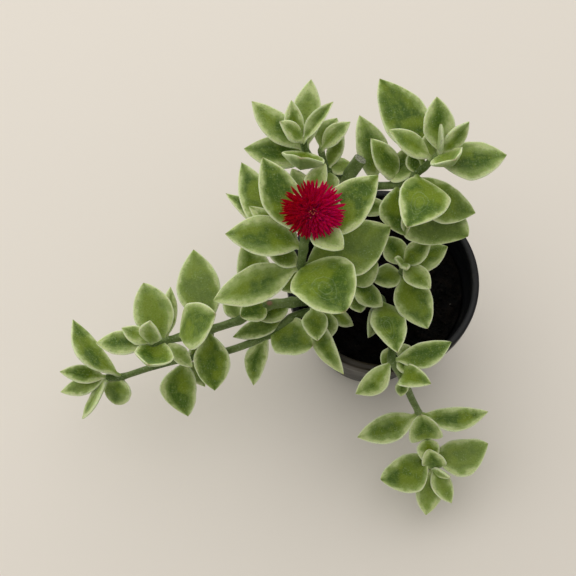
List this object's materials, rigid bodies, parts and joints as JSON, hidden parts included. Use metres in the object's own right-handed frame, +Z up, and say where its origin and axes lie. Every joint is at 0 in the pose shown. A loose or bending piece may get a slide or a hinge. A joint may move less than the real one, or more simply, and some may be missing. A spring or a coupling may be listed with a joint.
{
  "type": "potted heartleaf ice plant",
  "caption": "Variegated trailing succulent with heart-shaped fleshy leaves and a crimson many-petalled flower, in a round plastic nursery pot filled with soil.",
  "frame": {"origin": "centre of the pot's flat underside", "axes": "+Z up along the pot's axis; -Y towards the viewer, where the front stem hangs over the rim; -X towards the two stems that hang over the left"},
  "size_m": [0.1472, 0.1212, 0.1176],
  "materials": {
    "pot": "satin",
    "soil": "crumbly, matt",
    "foliage": "fleshy, satin, finely beaded",
    "petals": "silky",
    "stamens": "matt, powdery"
  },
  "bodies": {
    "root": {"pot": "pot", "soil": "soil", "stem_flowering": "foliage", "stem_pruned": "foliage", "stem_left_upper": "foliage", "stem_left_lower": "foliage", "stem_front": "foliage", "stem_centre_right": "foliage", "stem_under_left": "foliage", "stem_middle": "foliage", "flower_petals": "petals", "flower_stamens": "stamens"}
  },
  "joints": []
}
